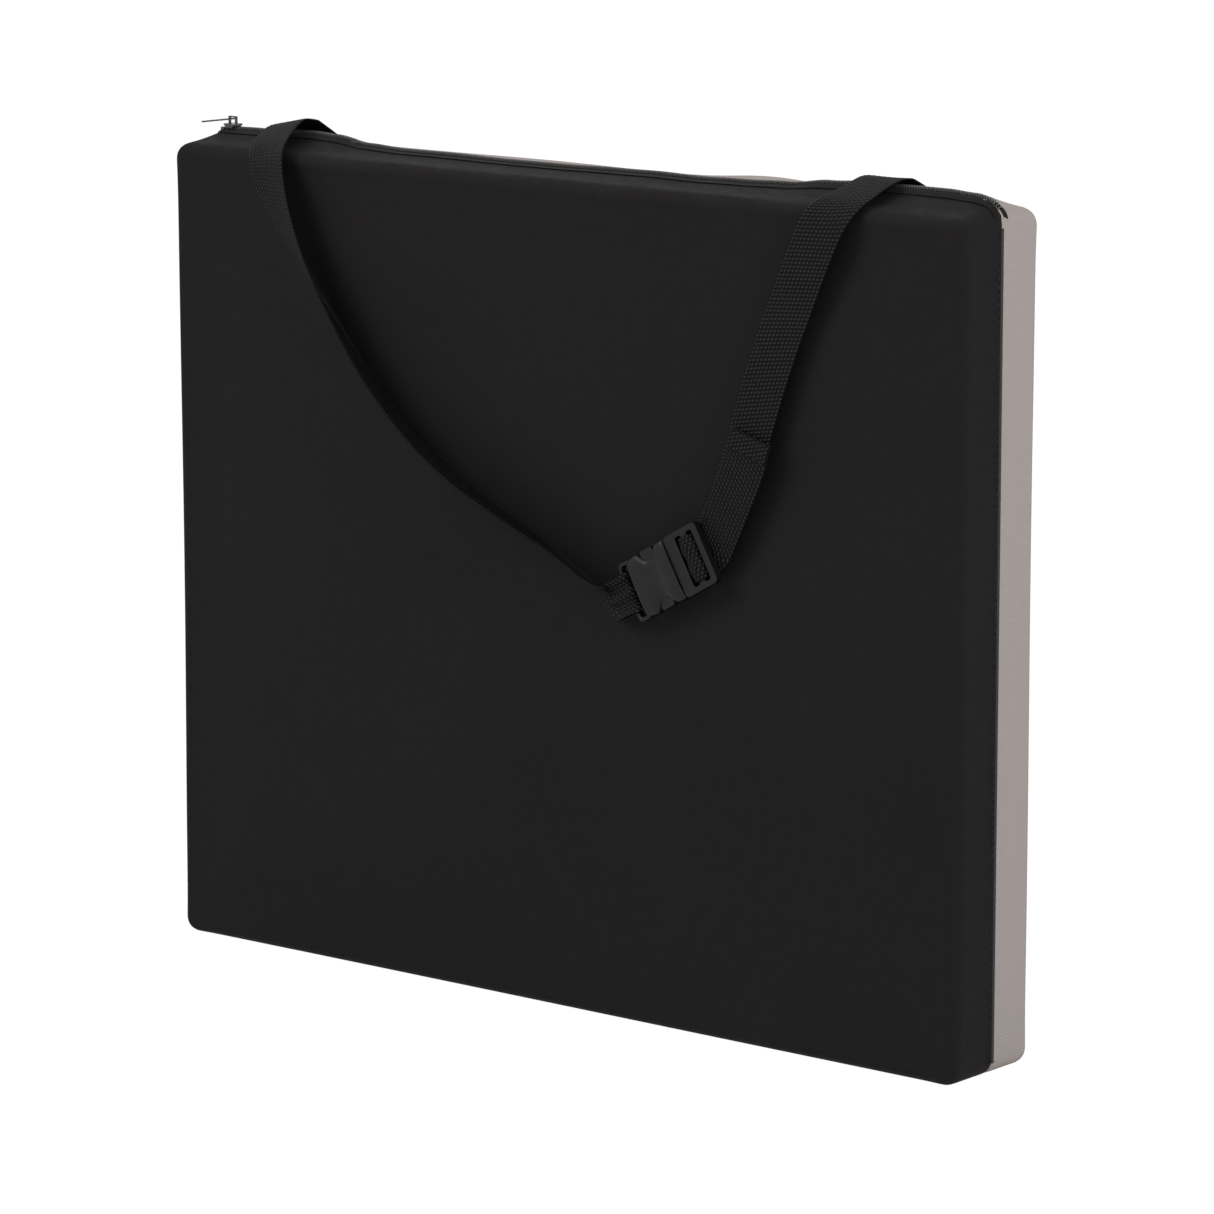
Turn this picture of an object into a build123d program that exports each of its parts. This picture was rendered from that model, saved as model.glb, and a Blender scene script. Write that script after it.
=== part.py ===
from build123d import *
from math import cos, radians, sin
import os

# A folding gym mat, closed like a book and standing on one long edge.
# Two foam panels in sewn covers are joined by the seam down the right end.
# A coil zip along the top holds them shut, and a webbing strap with a
# side-release buckle is sewn to the rear panel and hangs over the front one.
# Millimetres. X runs along the mat, Y from front to rear, Z up.
# The origin is on the ground, midway between the ends and between the panels.

os.makedirs("parts", exist_ok=True)

# Panels
MAT_LENGTH = 600.0
MAT_HEIGHT = 500.0
PANEL_THICKNESS = 38.0
CORNER_RADIUS = 9.0       # of the panel's outline
EDGE_RADIUS = 6.0         # between the outer face and the sides
LIP = 2.0                 # bevel where the two panels meet
COVER_WALL = 1.0
LINING_THICKNESS = 0.8
FOAM_CLEARANCE = 0.2
SEWN_GAP = 0.1            # between pieces that are sewn to each other
PANEL_GAP = 0.3           # from each panel to the plane between them
SPINE_CLEARANCE = 0.15    # from the right end to the fold's axis
SEAM_RADIUS = 1.2
SEAM_END_MARGIN = 8.0

# Zip
ZIP_HEIGHT = 7.0          # from the mat's top to the middle of the coils
ZIP_END_MARGIN = 12.0     # from the mat's ends to the ends of the coils
COIL_WIDTH = 2.4
COIL_DEPTH = 2.4
COIL_GAP = 0.2            # from each coil to the plane between the panels
TAPE_THICKNESS = 0.6
TAPE_REACH = 14.0         # from the plane between the panels to the tape's foot
STOP_LENGTH = 2.6
STOP_HEIGHT = 2.0
STOP_GAP = 0.5            # from the coils to the bottom stop

# Slider and pull tab
SLIDER_LENGTH = 10.0
SLIDER_HALF_WIDTH = 4.2
SLIDER_UNDER_WIDTH = 5.2
SLIDER_CORNER = 1.6
SLIDER_PLATE = 1.2
SLIDER_CLEARANCE = 0.4
POST_LENGTH = 1.6
FLANGE_WIDTH = 0.6
FLANGE_DROP = 1.2
CROWN_SPAN = 6.1          # over both legs of the crown
CROWN_BAR = 0.8
CROWN_HALF_WIDTH = 0.9
PIVOT_RISE = 2.9          # from the slider's top plate to the pull tab's pivot
PIVOT_CLEARANCE = 0.4
PULL_LENGTH = 27.0
PULL_WIDTH = 4.0
PULL_THICKNESS = 1.0
PULL_RING_LENGTH = 6.2
PULL_RING_WALL = 0.9
PULL_DROOP = 8.0          # degrees below level

# Strap
WEBBING_WIDTH = 30.0
WEBBING_THICKNESS = 1.4
STRAP_SPACING = 452.0     # between the middles of the two sewn ends
SEWN_END_START = 16.0     # from the plane between the panels
SEWN_END_LENGTH = 17.0
STITCH_WIDTH = 0.8
STITCH_HEIGHT = 0.5
STITCH_MARGIN = 2.5
STRAP_STAND_OFF = 8.0     # from the front panel's face to the hanging webbing
STRAP_BELLY = 16.0        # from the front panel's face to the twisted stretch
HEM_LENGTH = 10.0
HEM_X = 159.0
HEM_Z = 362.0
HEM_ANGLE = -18.0         # degrees
LOOP_NARROWING = 2.0      # of each edge, where the webbing bunches at a bar
LEFT_LOOP_LENGTH = 14.0   # from the socket's end to where the loop closes
RIGHT_LOOP_LENGTH = 14.0

# Buckle
BUCKLE_X = 105.0
BUCKLE_Z = 281.0
BUCKLE_ANGLE = 29.5       # degrees above level
BUCKLE_STAND_OFF = 14.0   # from the front panel's face to the buckle's middle
BUCKLE_WIDTH = 38.0
SOCKET_LENGTH = 40.0
SOCKET_THICKNESS = 9.0
SOCKET_WALL = 1.5
SOCKET_SIDE = 2.5
SOCKET_CORNER = 5.0
SLOT_CORNER = 1.5
SLOT_SPARE = 1.5          # wider than the webbing
MOUTH = 4.0               # along the buckle's axis, from its middle
CAVITY_DEPTH = 28.0
BUCKLE_SLOT = 5.0
END_BAR = 3.0
BAR_THICKNESS = 4.4
WINDOW_LENGTH = 13.0
WINDOW_SETBACK = 8.0      # from the mouth to the near edge of the windows
BUCKLE_CLEARANCE = 0.3
LADDER_LENGTH = 26.7
LADDER_THICKNESS = 5.0
LADDER_BAR = 4.0
LADDER_CORNER = 3.0
TONGUE_LENGTH = 16.0
TONGUE_WIDTH = 8.0
PRONG_LENGTH = 19.4
PRONG_WIDTH = 3.0
PRONG_INNER = 10.5        # from the buckle's axis to the inside of each prong
PRONG_HEAD_LENGTH = 10.0
PRONG_HEAD_WIDTH = 8.1
PRONG_THICKNESS = 4.8
PRONG_CORNER = 1.4

SIDES = (("front", -1), ("rear", 1))


def finish(piece, name):
    """Label one finished piece and write it as its own STEP file."""
    piece.label = name
    export_step(piece, f"parts/{name}.step")


def panel_plane(side, distance):
    """A plane facing outwards from between the panels, with Z up in its sketch."""
    return Plane(origin=(0, side * distance, 0), x_dir=(-side, 0, 0), z_dir=(0, side, 0))


def panel_block(side, inset, start, end, lip):
    """A panel's outer form, drawn in by inset, from start to end off the middle plane."""
    with BuildPart() as block:
        with BuildSketch(panel_plane(side, start)):
            with Locations((0, MAT_HEIGHT / 2)):
                RectangleRounded(
                    MAT_LENGTH - 2 * inset, MAT_HEIGHT - 2 * inset, CORNER_RADIUS - inset
                )
        extrude(amount=end - start)
        faces = block.faces().sort_by(Axis.Y)
        outer, inner = (faces[0], faces[-1]) if side < 0 else (faces[-1], faces[0])
        fillet(outer.edges(), radius=EDGE_RADIUS - inset)
        chamfer(inner.edges(), length=lip)
    return block.part


# The two panels: a sewn cover, its inner lining and the foam slab inside.
inner_lip = LIP - 0.4 * COVER_WALL
lining_inset = COVER_WALL + inner_lip + SEWN_GAP
foam_start = PANEL_GAP + LINING_THICKNESS + FOAM_CLEARANCE

for name, side in SIDES:
    with BuildPart() as cover:
        add(panel_block(side, 0, PANEL_GAP, PANEL_THICKNESS, LIP))
        add(
            panel_block(side, COVER_WALL, PANEL_GAP, PANEL_THICKNESS - COVER_WALL, inner_lip),
            mode=Mode.SUBTRACT,
        )
    finish(cover.part, f"{name}_cover")

    with BuildPart() as lining:
        with BuildSketch(panel_plane(side, PANEL_GAP)):
            with Locations((0, MAT_HEIGHT / 2)):
                RectangleRounded(
                    MAT_LENGTH - 2 * lining_inset,
                    MAT_HEIGHT - 2 * lining_inset,
                    CORNER_RADIUS - lining_inset,
                )
        extrude(amount=LINING_THICKNESS)
    finish(lining.part, f"{name}_lining")

    with BuildPart() as foam:
        add(
            panel_block(
                side,
                COVER_WALL + FOAM_CLEARANCE,
                foam_start,
                PANEL_THICKNESS - COVER_WALL - FOAM_CLEARANCE,
                inner_lip - 2 * FOAM_CLEARANCE,
            )
        )
    finish(foam.part, f"{name}_foam")

# The sewn seam down the right end, which the mat folds about.
spine_x = MAT_LENGTH / 2 + SPINE_CLEARANCE
with BuildPart() as spine_seam:
    with BuildSketch(Plane.XY.offset(SEAM_END_MARGIN)):
        with Locations((spine_x, 0)):
            Circle(SEAM_RADIUS)
    extrude(amount=MAT_HEIGHT - 2 * SEAM_END_MARGIN)
finish(spine_seam.part, "spine_seam")

# The zip: on each panel a tape that leans up to the middle, with a coil on its edge.
zip_z = MAT_HEIGHT + ZIP_HEIGHT
coil_end = MAT_LENGTH / 2 - ZIP_END_MARGIN
top_stop_x = -coil_end - SEWN_GAP - POST_LENGTH - SLIDER_CLEARANCE - STOP_LENGTH
coil_outer = COIL_GAP + COIL_WIDTH
tape_top = zip_z - COIL_DEPTH / 2 + TAPE_THICKNESS
tape_foot = MAT_HEIGHT + PANEL_GAP

for name, side in SIDES:
    with BuildPart() as coil:
        with BuildSketch(Plane.YZ.offset(-coil_end)):
            with Locations((side * (COIL_GAP + COIL_WIDTH / 2), zip_z)):
                RectangleRounded(COIL_WIDTH, COIL_DEPTH, COIL_WIDTH / 4)
        extrude(amount=2 * coil_end)
    finish(coil.part, f"{name}_zip_coil")

    with BuildPart() as tape:
        with BuildSketch(Plane.YZ.offset(top_stop_x)):
            with BuildLine():
                Polyline(
                    (side * (coil_outer + SEWN_GAP), tape_top),
                    (side * TAPE_REACH, tape_foot),
                    (side * TAPE_REACH, tape_foot + TAPE_THICKNESS),
                    (side * (coil_outer + SEWN_GAP), tape_top + TAPE_THICKNESS),
                    close=True,
                )
            make_face()
        extrude(amount=coil_end - top_stop_x)
    finish(tape.part, f"{name}_zip_tape")

    with BuildPart() as top_stop:
        with BuildSketch(Plane.YZ.offset(top_stop_x)):
            with Locations((side * (COIL_GAP + COIL_WIDTH / 2), zip_z - COIL_DEPTH / 4)):
                RectangleRounded(COIL_WIDTH, STOP_HEIGHT, COIL_WIDTH / 5)
        extrude(amount=STOP_LENGTH)
    finish(top_stop.part, f"{name}_top_stop")

with BuildPart() as bottom_stop:
    with BuildSketch(Plane.YZ.offset(coil_end + STOP_GAP)):
        with Locations((0, zip_z)):
            RectangleRounded(2 * coil_outer - COIL_GAP, COIL_DEPTH, COIL_WIDTH / 4)
    extrude(amount=STOP_LENGTH)
finish(bottom_stop.part, "zip_bottom_stop")

# The slider: two plates round the coils, joined by a post at its leading end.
slider_x = -coil_end + SLIDER_LENGTH / 2 - POST_LENGTH - SEWN_GAP
plate_low = zip_z + COIL_DEPTH / 2 + SLIDER_CLEARANCE
plate_high = plate_low + SLIDER_PLATE
under_high = zip_z - COIL_DEPTH / 2 - SLIDER_CLEARANCE - TAPE_THICKNESS
pivot_z = plate_high + PIVOT_RISE
crown_low = pivot_z + PULL_THICKNESS / 2 + PIVOT_CLEARANCE

with BuildPart() as slider:
    with BuildSketch(Plane.XY.offset(plate_low)):
        with Locations((slider_x, 0)):
            RectangleRounded(SLIDER_LENGTH, 2 * SLIDER_HALF_WIDTH, SLIDER_CORNER)
    extrude(amount=SLIDER_PLATE)
    fillet(slider.faces().sort_by(Axis.Z)[-1].edges(), radius=0.4)
    for side in (-1, 1):
        with BuildSketch(Plane.XY.offset(plate_low - FLANGE_DROP)):
            with Locations((slider_x, side * (SLIDER_HALF_WIDTH - FLANGE_WIDTH / 2))):
                Rectangle(SLIDER_LENGTH - 2.5 * SLIDER_CORNER, FLANGE_WIDTH)
        extrude(amount=FLANGE_DROP)
    with BuildSketch(Plane.XY.offset(under_high - SLIDER_PLATE)):
        with Locations((slider_x, 0)):
            RectangleRounded(SLIDER_LENGTH, SLIDER_UNDER_WIDTH, SLIDER_CORNER)
    extrude(amount=SLIDER_PLATE)
    with BuildSketch(Plane.XY.offset(under_high)):
        with Locations((slider_x - SLIDER_LENGTH / 2 + POST_LENGTH / 2, -POST_LENGTH / 2)):
            Rectangle(POST_LENGTH, POST_LENGTH)
    extrude(amount=plate_low - under_high)
    for end in (-1, 1):
        with BuildSketch(Plane.XY.offset(plate_high)):
            with Locations((slider_x + end * (CROWN_SPAN - CROWN_BAR) / 2, 0)):
                Rectangle(CROWN_BAR, 2 * CROWN_HALF_WIDTH)
        extrude(amount=crown_low - plate_high)
    with BuildSketch(Plane.XY.offset(crown_low)):
        with Locations((slider_x, 0)):
            Rectangle(CROWN_SPAN, 2 * CROWN_HALF_WIDTH)
    extrude(amount=CROWN_BAR)
finish(slider.part, "zip_slider")

# The pull tab: a ring through the crown, and a thin tab that droops past the end.
droop = radians(PULL_DROOP)
pull_plane = Plane(
    origin=(slider_x, 0, pivot_z),
    x_dir=(-cos(droop), 0, -sin(droop)),
    z_dir=(-sin(droop), 0, cos(droop)),
)
ring_start = -PULL_THICKNESS / 2
ring_width = 2 * (CROWN_HALF_WIDTH + PIVOT_CLEARANCE + PULL_RING_WALL)
ring_window = PULL_RING_LENGTH - PULL_THICKNESS - PULL_RING_WALL
with BuildPart() as pull_tab:
    with BuildSketch(pull_plane.offset(-PULL_THICKNESS / 2)):
        with Locations((ring_start + PULL_RING_LENGTH / 2, 0)):
            Rectangle(PULL_RING_LENGTH, ring_width)
        with Locations((PULL_LENGTH / 2, 0)):
            RectangleRounded(PULL_LENGTH - 2.0, PULL_WIDTH, PULL_WIDTH / 2.2)
        with Locations((ring_start + PULL_THICKNESS + ring_window / 2, 0)):
            Rectangle(ring_window, ring_width - 2 * PULL_RING_WALL, mode=Mode.SUBTRACT)
    extrude(amount=PULL_THICKNESS)
finish(pull_tab.part, "pull_tab")

# The strap's sewn ends, flat on top of the rear panel, with their box stitching.
end_z = MAT_HEIGHT + PANEL_GAP
end_middle = SEWN_END_START + SEWN_END_LENGTH / 2
strap_xs = (("left", -STRAP_SPACING / 2), ("right", STRAP_SPACING / 2))
for name, x in strap_xs:
    with BuildPart() as sewn_end:
        with BuildSketch(Plane.XY.offset(end_z)):
            with Locations((x, end_middle)):
                Rectangle(WEBBING_WIDTH, SEWN_END_LENGTH)
        extrude(amount=WEBBING_THICKNESS)
    finish(sewn_end.part, f"strap_end_{name}")

with BuildPart() as end_stitching:
    for name, x in strap_xs:
        with BuildSketch(Plane.XY.offset(end_z + WEBBING_THICKNESS)):
            with Locations((x, end_middle)):
                Rectangle(WEBBING_WIDTH - 2 * STITCH_MARGIN, SEWN_END_LENGTH - 2 * STITCH_MARGIN)
                Rectangle(
                    WEBBING_WIDTH - 2 * STITCH_MARGIN - 2 * STITCH_WIDTH,
                    SEWN_END_LENGTH - 2 * STITCH_MARGIN - 2 * STITCH_WIDTH,
                    mode=Mode.SUBTRACT,
                )
        extrude(amount=STITCH_HEIGHT)
finish(end_stitching.part, "strap_end_stitching")

# The webbing over the top: up across the zip and down to the front edge.
face_y = -PANEL_THICKNESS
hang_y = face_y - STRAP_STAND_OFF
over_top = [
    (SEWN_END_START - 1.0, end_z + WEBBING_THICKNESS / 2 + 0.5),
    (10.5, zip_z),
    (4.0, zip_z + 5.5),
    (-5.0, zip_z + 6.0),
    (-18.0, MAT_HEIGHT + 8.5),
    (-36.0, MAT_HEIGHT + 5.0),
    (hang_y - WEBBING_THICKNESS, MAT_HEIGHT + 1.5),
]
for name, x in strap_xs:
    with BuildPart() as upper:
        with BuildSketch(Plane.YZ.offset(x - WEBBING_WIDTH / 2)):
            with BuildLine():
                Polyline(*over_top)
            trace(line_width=WEBBING_THICKNESS)
        extrude(amount=WEBBING_WIDTH)
    finish(upper.part, f"strap_{name}_upper")

# The buckle lies against the front panel, turned up towards the right.
tilt = radians(BUCKLE_ANGLE)
buckle_y = face_y - BUCKLE_STAND_OFF
buckle_plane = Plane(
    origin=(BUCKLE_X, buckle_y, BUCKLE_Z),
    x_dir=(cos(tilt), 0, sin(tilt)),
    z_dir=(0, -1, 0),
)


def along_buckle(distance, across=0.0):
    """X and Z of a point on the buckle, along its axis and across it."""
    return (
        BUCKLE_X + distance * cos(tilt) - across * sin(tilt),
        BUCKLE_Z + distance * sin(tilt) + across * cos(tilt),
    )


socket_end = MOUTH - SOCKET_LENGTH
slot_middle = socket_end + END_BAR + BUCKLE_SLOT / 2
slot_width = WEBBING_WIDTH + SLOT_SPARE
cavity_half = BUCKLE_WIDTH / 2 - SOCKET_SIDE
window_middle = MOUTH - WINDOW_SETBACK - WINDOW_LENGTH / 2
with BuildPart() as socket:
    with BuildSketch(buckle_plane.offset(-SOCKET_THICKNESS / 2)):
        with Locations((MOUTH - SOCKET_LENGTH / 2, 0)):
            RectangleRounded(SOCKET_LENGTH, BUCKLE_WIDTH, SOCKET_CORNER)
        with Locations((slot_middle, 0)):
            RectangleRounded(BUCKLE_SLOT, slot_width, SLOT_CORNER, mode=Mode.SUBTRACT)
    extrude(amount=SOCKET_THICKNESS)
    with BuildSketch(buckle_plane.offset(-SOCKET_THICKNESS / 2 + SOCKET_WALL)):
        with Locations((MOUTH - CAVITY_DEPTH / 2, 0)):
            Rectangle(CAVITY_DEPTH, 2 * cavity_half)
        with Locations((window_middle, 0)):
            Rectangle(WINDOW_LENGTH, BUCKLE_WIDTH + 2.0)
    extrude(amount=SOCKET_THICKNESS - 2 * SOCKET_WALL, mode=Mode.SUBTRACT)
    for level in (-SOCKET_THICKNESS / 2, BAR_THICKNESS / 2):
        with BuildSketch(buckle_plane.offset(level)):
            with Locations((socket_end + (END_BAR + BUCKLE_SLOT) / 2 - 0.5, 0)):
                Rectangle(END_BAR + BUCKLE_SLOT + 1.0, BUCKLE_WIDTH + 2.0)
        extrude(amount=(SOCKET_THICKNESS - BAR_THICKNESS) / 2, mode=Mode.SUBTRACT)
finish(socket.part, "buckle_socket")

ladder_start = MOUTH + BUCKLE_CLEARANCE
ladder_end = ladder_start + LADDER_LENGTH
far_slot = ladder_end - LADDER_BAR - BUCKLE_SLOT / 2
near_slot = far_slot - BUCKLE_SLOT - LADDER_BAR
with BuildPart() as plug:
    with BuildSketch(buckle_plane.offset(-LADDER_THICKNESS / 2)):
        with Locations(((ladder_start + ladder_end) / 2, 0)):
            RectangleRounded(LADDER_LENGTH, BUCKLE_WIDTH, LADDER_CORNER)
        with Locations((near_slot, 0), (far_slot, 0)):
            RectangleRounded(BUCKLE_SLOT, slot_width, SLOT_CORNER, mode=Mode.SUBTRACT)
        with Locations((ladder_start - TONGUE_LENGTH / 2, 0)):
            Rectangle(TONGUE_LENGTH + 2.0, TONGUE_WIDTH)
    extrude(amount=LADDER_THICKNESS)
finish(plug.part, "buckle_plug")

prong_end = MOUTH - PRONG_LENGTH
for name, side in (("upper", 1), ("lower", -1)):
    with BuildPart() as prong:
        with BuildSketch(buckle_plane.offset(-PRONG_THICKNESS / 2)):
            with Locations((MOUTH - PRONG_LENGTH / 2, side * (PRONG_INNER + PRONG_WIDTH / 2))):
                Rectangle(PRONG_LENGTH, PRONG_WIDTH)
            with Locations(
                (
                    prong_end + PRONG_HEAD_LENGTH / 2,
                    side * (PRONG_INNER + PRONG_HEAD_WIDTH / 2),
                )
            ):
                RectangleRounded(PRONG_HEAD_LENGTH, PRONG_HEAD_WIDTH, PRONG_CORNER)
        extrude(amount=PRONG_THICKNESS)
    finish(prong.part, f"buckle_prong_{name}")

# The left leg hangs flat at first, then on edge along its curve, and loops
# round the socket's end bar.
hang_top = MAT_HEIGHT + 0.4
left_flat = [
    (-STRAP_SPACING / 2, hang_top),
    (-STRAP_SPACING / 2, hang_top - 10.0),
    (-217.0, 460.0),
    (-200.0, 430.0),
]
left_edge = [
    (-206.0, 440.0),
    (-172.0, 403.0),
    (-125.0, 358.0),
    (-65.0, 317.0),
    (5.0, 289.0),
    (38.0, 272.0),
    along_buckle(socket_end - LEFT_LOOP_LENGTH + 1.0),
]
bar_loop = BAR_THICKNESS / 2 + WEBBING_THICKNESS / 2 + BUCKLE_CLEARANCE
loop_turn = socket_end + END_BAR + BUCKLE_CLEARANCE + WEBBING_THICKNESS / 2
loop_plane = Plane(
    origin=buckle_plane.origin,
    x_dir=buckle_plane.x_dir,
    z_dir=(-sin(tilt), 0, cos(tilt)),
)
loop_half = WEBBING_WIDTH / 2 - LOOP_NARROWING
with BuildPart() as left_lower:
    with BuildSketch(Plane.XZ.offset(-hang_y)):
        with BuildLine():
            Polyline(*left_flat)
        trace(line_width=WEBBING_WIDTH)
    extrude(amount=WEBBING_THICKNESS)
    with BuildSketch(Plane.XZ.offset(-face_y + STRAP_BELLY - WEBBING_WIDTH / 2)):
        with BuildLine():
            Polyline(*left_edge)
        trace(line_width=WEBBING_THICKNESS)
    extrude(amount=WEBBING_WIDTH)
    with BuildSketch(loop_plane.offset(-loop_half)):
        with BuildLine():
            Polyline(
                (socket_end - LEFT_LOOP_LENGTH, bar_loop),
                (loop_turn, bar_loop),
                (loop_turn, -bar_loop),
                (socket_end - LEFT_LOOP_LENGTH, -bar_loop),
            )
        trace(line_width=WEBBING_THICKNESS)
    extrude(amount=2 * loop_half)
finish(left_lower.part, "strap_left_lower")

# The right leg runs flat down to the ladder and round its middle bar, and its
# free end comes back up in front, with a folded hem.
right_leg = [
    (STRAP_SPACING / 2, hang_top),
    (STRAP_SPACING / 2 - 1.0, hang_top - 8.0),
    (208.0, 474.0),
    (184.0, 436.0),
    (166.0, 384.0),
    (154.0, 345.0),
    along_buckle(near_slot + 12.0, 4.0),
]
right_tail = [(161.0, 366.0), (154.0, 345.0), along_buckle(near_slot + 12.0, 4.0)]
ladder_wrap = LADDER_THICKNESS / 2 + WEBBING_THICKNESS / 2 + BUCKLE_CLEARANCE
for name, path, level in (("lower", right_leg, -1), ("tail", right_tail, 1)):
    layer_y = buckle_y - level * ladder_wrap
    with BuildPart() as layer:
        with BuildSketch(Plane.XZ.offset(-layer_y - WEBBING_THICKNESS / 2)):
            with BuildLine():
                Polyline(*path)
            trace(line_width=WEBBING_WIDTH)
        extrude(amount=WEBBING_THICKNESS)
        with BuildSketch(
            buckle_plane.offset(level * ladder_wrap - WEBBING_THICKNESS / 2)
        ):
            with Locations((near_slot + RIGHT_LOOP_LENGTH / 2, 0)):
                Rectangle(RIGHT_LOOP_LENGTH + WEBBING_THICKNESS, 2 * loop_half)
        extrude(amount=WEBBING_THICKNESS)
        if name == "lower":
            with BuildSketch(buckle_plane.offset(-ladder_wrap)):
                with Locations((near_slot, 0)):
                    Rectangle(WEBBING_THICKNESS, 2 * loop_half)
            extrude(amount=2 * ladder_wrap - WEBBING_THICKNESS / 2 - SEWN_GAP)
        else:
            with BuildSketch(Plane.XZ.offset(-layer_y + WEBBING_THICKNESS / 2)):
                with Locations((HEM_X, HEM_Z)):
                    Rectangle(2 * loop_half, HEM_LENGTH, rotation=HEM_ANGLE)
            extrude(amount=WEBBING_THICKNESS)
    finish(layer.part, "strap_right_lower" if name == "lower" else "strap_tail")
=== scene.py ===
import math

import bmesh
import bpy
import numpy as np
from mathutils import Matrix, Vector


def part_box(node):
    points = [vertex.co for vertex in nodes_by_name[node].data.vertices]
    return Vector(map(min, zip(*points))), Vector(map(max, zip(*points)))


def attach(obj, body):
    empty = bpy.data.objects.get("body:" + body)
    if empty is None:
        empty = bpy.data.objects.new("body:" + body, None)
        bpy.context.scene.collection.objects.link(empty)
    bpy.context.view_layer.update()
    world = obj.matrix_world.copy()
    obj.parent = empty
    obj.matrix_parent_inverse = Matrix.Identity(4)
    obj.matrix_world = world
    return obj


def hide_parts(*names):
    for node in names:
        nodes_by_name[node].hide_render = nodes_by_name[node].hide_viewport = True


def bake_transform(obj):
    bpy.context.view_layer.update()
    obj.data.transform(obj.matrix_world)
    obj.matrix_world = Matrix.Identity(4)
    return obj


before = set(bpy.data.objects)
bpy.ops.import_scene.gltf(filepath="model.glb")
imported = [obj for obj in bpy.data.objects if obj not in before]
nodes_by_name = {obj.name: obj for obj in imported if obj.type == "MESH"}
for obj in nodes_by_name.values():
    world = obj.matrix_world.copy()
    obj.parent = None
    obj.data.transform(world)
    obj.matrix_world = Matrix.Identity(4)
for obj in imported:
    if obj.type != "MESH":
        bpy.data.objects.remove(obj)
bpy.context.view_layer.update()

# The view, the light and the floor.
# A long lens looks down a little on the mat's front and its right end, in soft
# light from above on both sides, over a pale floor that runs into a pale world.
scene = bpy.context.scene
scene.view_settings.view_transform = "Standard"

camera_data = bpy.data.cameras.new("camera")
camera_data.sensor_width = 36.0
camera_data.lens = 181.6
camera = bpy.data.objects.new("camera", camera_data)
camera.location = (2.284, -2.790, 0.936)
camera.rotation_euler = (math.radians(90 - 10.94), 0, math.radians(39.13))
scene.collection.objects.link(camera)
scene.camera = camera


def soft_lamp(name, place, aim, size, power):
    """A square area lamp at one place, turned towards another."""
    data = bpy.data.lights.new(name, "AREA")
    data.size = size
    data.energy = power
    lamp = bpy.data.objects.new(name, data)
    lamp.location = place
    away = np.array(aim) - np.array(place)
    lamp.rotation_euler = (
        math.acos(-away[2] / np.linalg.norm(away)),
        0,
        math.atan2(away[1], away[0]) - math.pi / 2,
    )
    scene.collection.objects.link(lamp)


soft_lamp("lamp_left", (-1.2, -2.2, 2.0), (0, 0, 0.3), 1.6, 42)
soft_lamp("lamp_right", (2.6, -0.4, 1.7), (0, 0, 0.3), 1.4, 40)
soft_lamp("lamp_top", (0.2, 0.6, 2.6), (0, 0, 0.4), 1.8, 9)


def shown_directly(tree):
    """One where a ray comes from the camera, a mirror or a glass, and nought elsewhere."""
    path = tree.nodes.new("ShaderNodeLightPath")
    either = tree.nodes.new("ShaderNodeMath")
    either.operation = "MAXIMUM"
    tree.links.new(path.outputs["Is Camera Ray"], either.inputs[0])
    tree.links.new(path.outputs["Is Glossy Ray"], either.inputs[1])
    any_of_them = tree.nodes.new("ShaderNodeMath")
    any_of_them.operation = "MAXIMUM"
    tree.links.new(either.outputs[0], any_of_them.inputs[0])
    tree.links.new(path.outputs["Is Transmission Ray"], any_of_them.inputs[1])
    return any_of_them.outputs[0]


world = bpy.data.worlds.new("pale_world")
scene.world = world
world.use_nodes = True
sky = world.node_tree
lit = sky.nodes["Background"]
lit.inputs["Color"].default_value = (1, 1, 1, 1)
lit.inputs["Strength"].default_value = 0.45
seen = sky.nodes.new("ShaderNodeBackground")
seen.inputs["Color"].default_value = (1, 1, 1, 1)
seen.inputs["Strength"].default_value = 1.0
choice = sky.nodes.new("ShaderNodeMixShader")
sky.links.new(shown_directly(sky), choice.inputs[0])
sky.links.new(lit.outputs[0], choice.inputs[1])
sky.links.new(seen.outputs[0], choice.inputs[2])
sky.links.new(choice.outputs[0], sky.nodes["World Output"].inputs["Surface"])

floor_mesh = bpy.data.meshes.new("floor")
floor_mesh.from_pydata(
    [(-30, -30, -0.001), (30, -30, -0.001), (30, 30, -0.001), (-30, 30, -0.001)],
    [],
    [(0, 1, 2, 3)],
)
floor = bpy.data.objects.new("floor", floor_mesh)
scene.collection.objects.link(floor)
floor_paint = bpy.data.materials.new("floor_paint")
floor_paint.use_nodes = True
paint = floor_paint.node_tree
paint.nodes.remove(paint.nodes["Principled BSDF"])
matte = paint.nodes.new("ShaderNodeBsdfDiffuse")
matte.inputs["Color"].default_value = (0.9, 0.9, 0.9, 1)
glow = paint.nodes.new("ShaderNodeEmission")
glow.inputs["Strength"].default_value = 1.05
share = paint.nodes.new("ShaderNodeMath")
share.operation = "MULTIPLY"
share.inputs[1].default_value = 0.95
paint.links.new(shown_directly(paint), share.inputs[0])
floor_mix = paint.nodes.new("ShaderNodeMixShader")
paint.links.new(share.outputs[0], floor_mix.inputs[0])
paint.links.new(matte.outputs[0], floor_mix.inputs[1])
paint.links.new(glow.outputs[0], floor_mix.inputs[2])
paint.links.new(floor_mix.outputs[0], paint.nodes["Material Output"].inputs["Surface"])
floor_mesh.materials.append(floor_paint)

# The foam slabs.
# Each panel is one slab of closed-cell foam, cut to size with bevelled edges
# and slid into its cover. The slabs can't be seen once the covers are sewn.


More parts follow.
